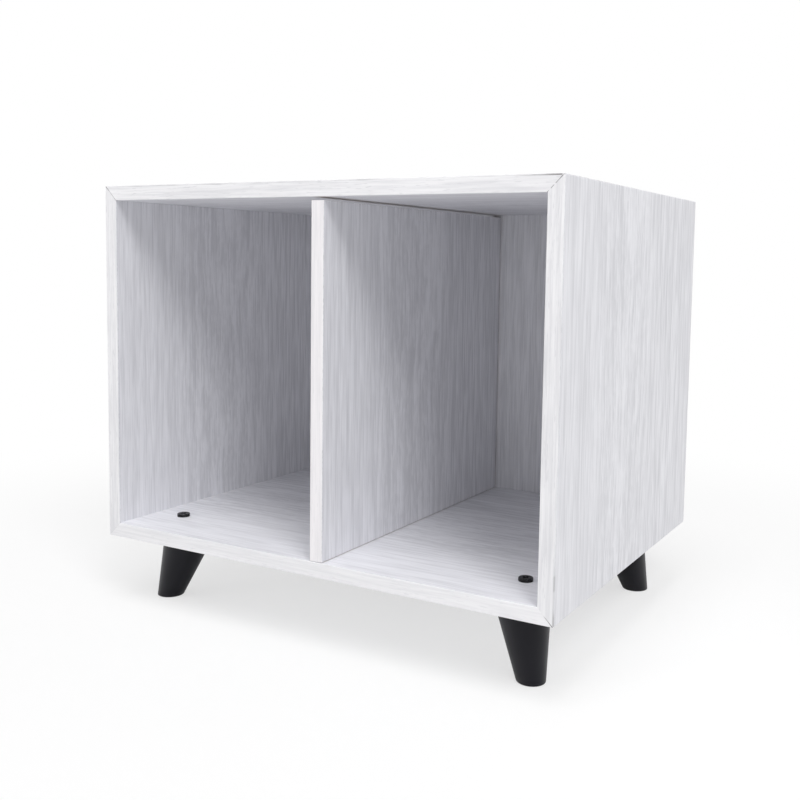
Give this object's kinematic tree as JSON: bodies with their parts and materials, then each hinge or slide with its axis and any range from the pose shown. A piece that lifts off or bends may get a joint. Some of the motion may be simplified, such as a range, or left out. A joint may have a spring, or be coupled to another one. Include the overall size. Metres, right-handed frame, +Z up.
{
  "type": "disc storage cabinet",
  "caption": "Small open-fronted tabletop cabinet for disc cases: a mitred box of laminated board with a sliding divider, standing on splayed, tapered legs.",
  "frame": {"origin": "under the middle of the box, on the plane that the feet stand on", "axes": "+X to the right seen from the front, +Y to the rear, the open front faces -Y, +Z up"},
  "size_m": [0.208, 0.158, 0.1794],
  "materials": {
    "laminated_board": "board faced with white and pale grey wood-grain foil, satin",
    "edge_band": "thin white wood-grain edging, grain along its length",
    "back_board": "thin board, white wood-grain face",
    "leg_plastic": "moulded near-black plastic, satin",
    "foot_pad": "soft black pad, matt",
    "black_steel": "black-plated steel, satin"
  },
  "bodies": {
    "cabinet": {"top_panel": "laminated_board", "bottom_panel": "laminated_board", "left_side_panel": "laminated_board", "right_side_panel": "laminated_board", "back_panel": "back_board", "top_front_edge_band": "edge_band", "top_rear_edge_band": "edge_band", "bottom_front_edge_band": "edge_band", "bottom_rear_edge_band": "edge_band", "left_front_edge_band": "edge_band", "left_rear_edge_band": "edge_band", "right_front_edge_band": "edge_band", "right_rear_edge_band": "edge_band", "front_left_leg": "leg_plastic", "front_left_foot_pad": "foot_pad", "front_left_leg_screw": "black_steel", "front_right_leg": "leg_plastic", "front_right_foot_pad": "foot_pad", "front_right_leg_screw": "black_steel", "rear_left_leg": "leg_plastic", "rear_left_foot_pad": "foot_pad", "rear_left_leg_screw": "black_steel", "rear_right_leg": "leg_plastic", "rear_right_foot_pad": "foot_pad", "rear_right_leg_screw": "black_steel"},
    "divider": {"divider_panel": "laminated_board", "divider_front_edge_band": "edge_band"}
  },
  "joints": [
    {"name": "divider_slide", "type": "slide", "parent": "cabinet", "child": "divider", "axis": [1, 0, 0], "range_m": [-0.0835, 0.0713]}
  ]
}
